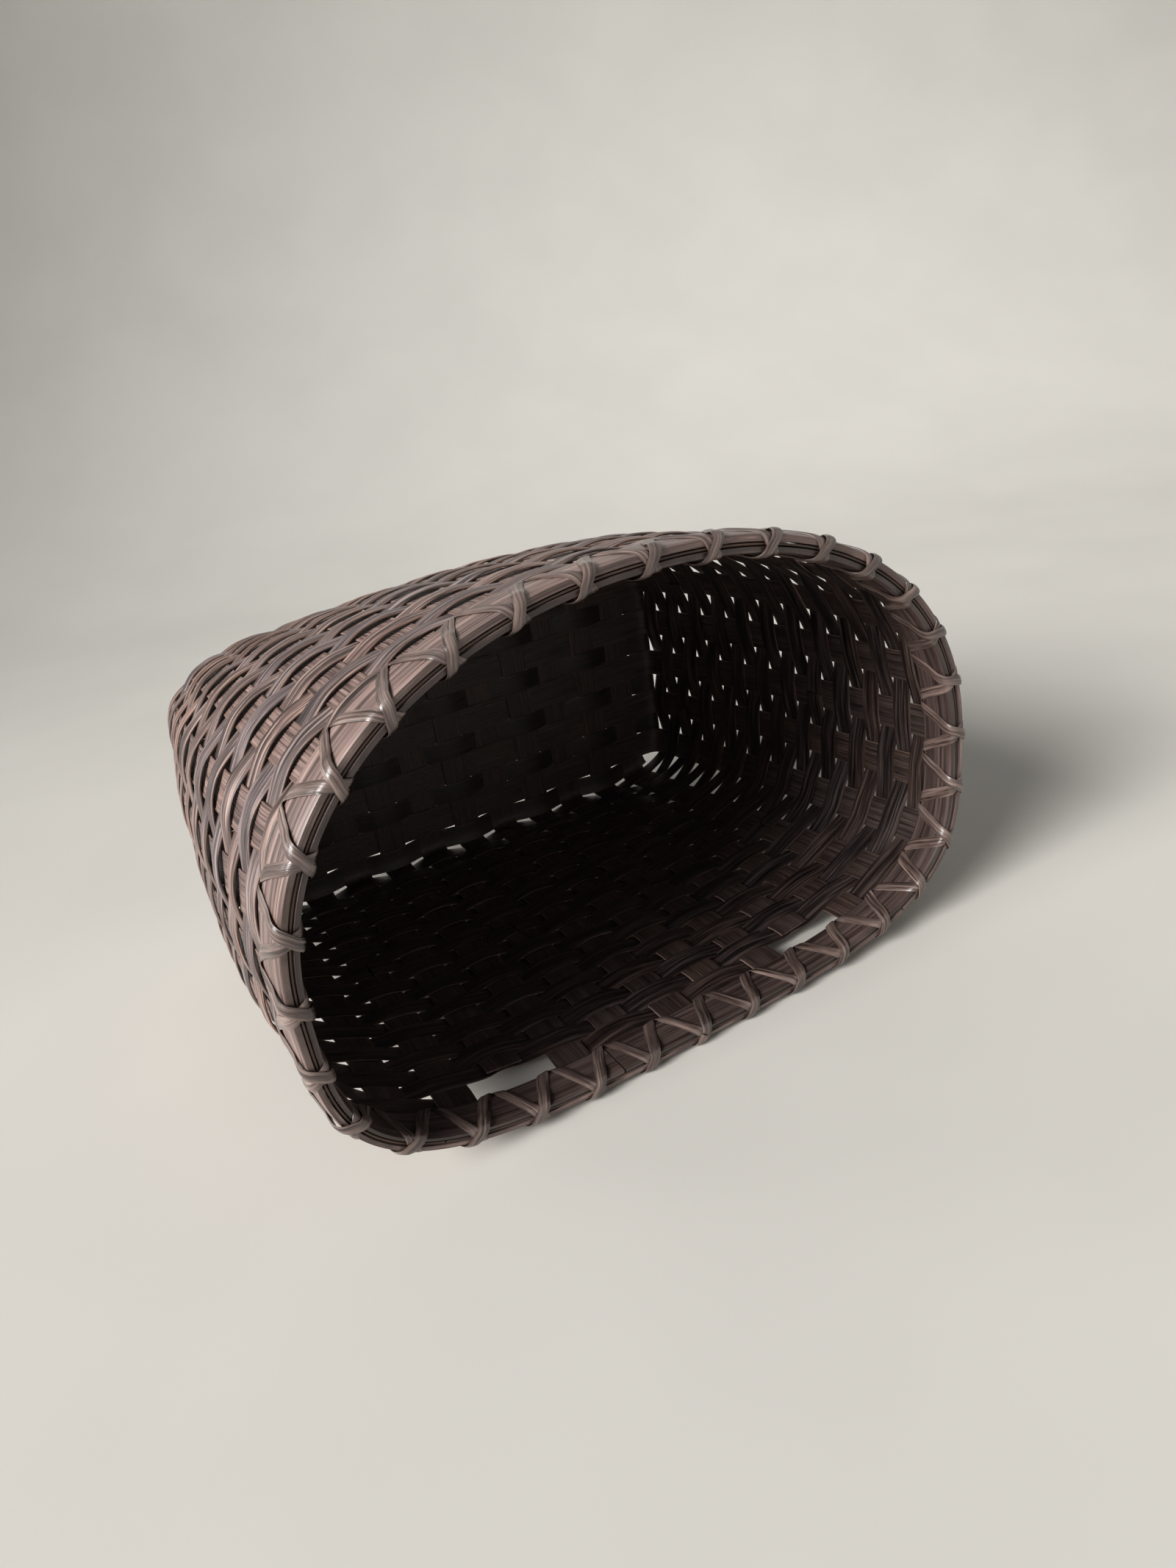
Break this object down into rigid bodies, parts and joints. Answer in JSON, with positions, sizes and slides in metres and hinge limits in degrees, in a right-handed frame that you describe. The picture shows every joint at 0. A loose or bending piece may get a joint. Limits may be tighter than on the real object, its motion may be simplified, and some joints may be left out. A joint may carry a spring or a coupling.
{
  "type": "wall mail basket",
  "caption": "Half-round woven reed basket with a flat back, a cane-lashed rim and hanging slots under it, for holding mail on a wall; stained dark brown.",
  "frame": {"origin": "under the middle of the basket, on the surface its flat back lies on", "axes": "+Z up from the flat back towards the front arch, mouth facing -Y, base facing +Y, X across the mouth; the basket lies on its back as pictured, and hangs with -Y up and -Z to the wall"},
  "size_m": [0.3202, 0.2442, 0.2087],
  "materials": {
    "stake_reed": "dark brown stain, matt",
    "base_reed": "dark brown stain, matt",
    "weaver_reed": "dark brown stain, satin",
    "rim_reed": "dark brown stain, satin",
    "lashing_cane": "dark brown stain, satin gloss"
  },
  "bodies": {
    "root": {"long_stake_01": "stake_reed", "long_stake_02": "stake_reed", "long_stake_03": "stake_reed", "long_stake_04": "stake_reed", "long_stake_05": "stake_reed", "long_stake_06": "stake_reed", "long_stake_07": "stake_reed", "long_stake_08": "stake_reed", "long_stake_09": "stake_reed", "long_stake_10": "stake_reed", "long_stake_11": "stake_reed", "cross_stake_01": "stake_reed", "cross_stake_02": "stake_reed", "cross_stake_03": "stake_reed", "cross_stake_04": "stake_reed", "cross_stake_05": "stake_reed", "base_filler_01": "base_reed", "base_filler_02": "base_reed", "base_filler_03": "base_reed", "base_filler_04": "base_reed", "base_filler_05": "base_reed", "base_filler_06": "base_reed", "weaver_row_02": "weaver_reed", "weaver_row_03": "weaver_reed", "weaver_row_04": "weaver_reed", "weaver_row_05": "weaver_reed", "weaver_row_06": "weaver_reed", "weaver_row_07": "weaver_reed", "weaver_row_08": "weaver_reed", "weaver_row_09": "weaver_reed", "weaver_row_10": "weaver_reed", "weaver_row_11": "weaver_reed", "weaver_row_12": "weaver_reed", "weaver_row_13": "weaver_reed", "weaver_row_14": "weaver_reed", "weaver_row_15": "weaver_reed", "weaver_row_16": "weaver_reed", "weaver_row_17": "weaver_reed", "weaver_row_18": "weaver_reed", "weaver_row_19": "weaver_reed", "weaver_row_20": "weaver_reed", "weaver_row_21": "weaver_reed", "slot_row_front": "weaver_reed", "slot_row_back": "weaver_reed", "rim_outer_band": "rim_reed", "rim_inner_band": "rim_reed", "rim_filler": "rim_reed", "lashing_first_strand": "lashing_cane", "lashing_second_strand": "lashing_cane"}
  },
  "joints": []
}
